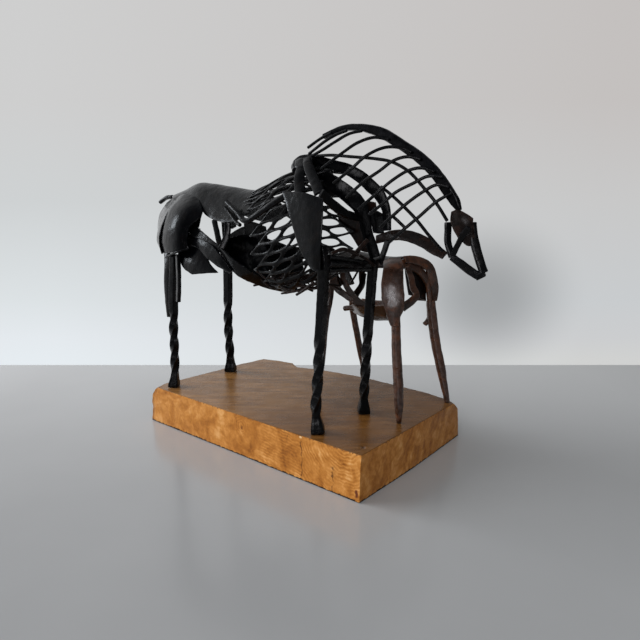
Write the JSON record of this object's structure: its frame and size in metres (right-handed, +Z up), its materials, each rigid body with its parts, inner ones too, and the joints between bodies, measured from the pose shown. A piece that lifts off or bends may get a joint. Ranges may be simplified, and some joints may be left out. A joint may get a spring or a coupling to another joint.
{
  "type": "horse sculpture",
  "caption": "Open welded steel sculpture of a standing mare with mesh ribs and a rod mane, her brown foal beside her, on a slab of burl wood.",
  "frame": {"origin": "middle of the whole's footprint, on the underside of the wood slab", "axes": "+X the way the mare faces, +Y from her near side towards the foal, +Z up"},
  "size_m": [0.5024, 0.24, 0.3814],
  "materials": {
    "burl_wood": "oiled satin",
    "black_steel": "blackened and waxed",
    "brown_steel": "brown patina, waxed"
  },
  "bodies": {
    "root": {"burl_base": "burl_wood", "leg_fore_near": "black_steel", "leg_fore_far": "black_steel", "leg_hind_near": "black_steel", "leg_hind_far": "black_steel", "croup_plate": "black_steel", "haunch_plate_near": "black_steel", "haunch_plate_far": "black_steel", "buttock_strap": "black_steel", "buttock_band": "black_steel", "thigh_bar": "black_steel", "thigh_flap": "black_steel", "tail_stub": "black_steel", "flank_bars": "black_steel", "flank_bar_far": "black_steel", "belly_strap": "black_steel", "belly_keel": "black_steel", "rib_mesh": "black_steel", "hairpin_bar": "black_steel", "shoulder_plate_near": "black_steel", "withers_straps": "black_steel", "chest_bars": "black_steel", "breast_strap": "black_steel", "neck_strap_upper": "black_steel", "neck_strap_lower": "black_steel", "chest_plate": "black_steel", "chest_strap": "black_steel", "throat_strap": "black_steel", "crest_strip": "black_steel", "mane_rod_1": "black_steel", "mane_rod_2": "black_steel", "mane_rod_3": "black_steel", "mane_rod_4": "black_steel", "mane_rod_5": "black_steel", "mane_rod_6": "black_steel", "mane_rod_7": "black_steel", "mane_rod_8": "black_steel", "mane_rod_9": "black_steel", "mane_rod_10": "black_steel", "mane_stringer_1": "black_steel", "mane_stringer_2": "black_steel", "mane_stringer_3": "black_steel", "brow_plate": "black_steel", "head_frame": "black_steel", "shoulder_plate_far": "brown_steel", "foal_leg_hind_near": "brown_steel", "foal_leg_hind_far": "brown_steel", "foal_leg_fore_far": "brown_steel", "foal_leg_fore_near": "brown_steel", "foal_haunch_strap": "brown_steel", "foal_haunch_far": "brown_steel", "foal_hip_arch": "brown_steel", "foal_rump_strap": "brown_steel", "foal_flank_loop": "brown_steel", "foal_back_plate": "brown_steel", "foal_belly_plate": "brown_steel", "foal_chest_strap": "brown_steel", "foal_chest_band": "brown_steel", "foal_breast_loop": "brown_steel", "foal_neck_head": "brown_steel"}
  },
  "joints": []
}
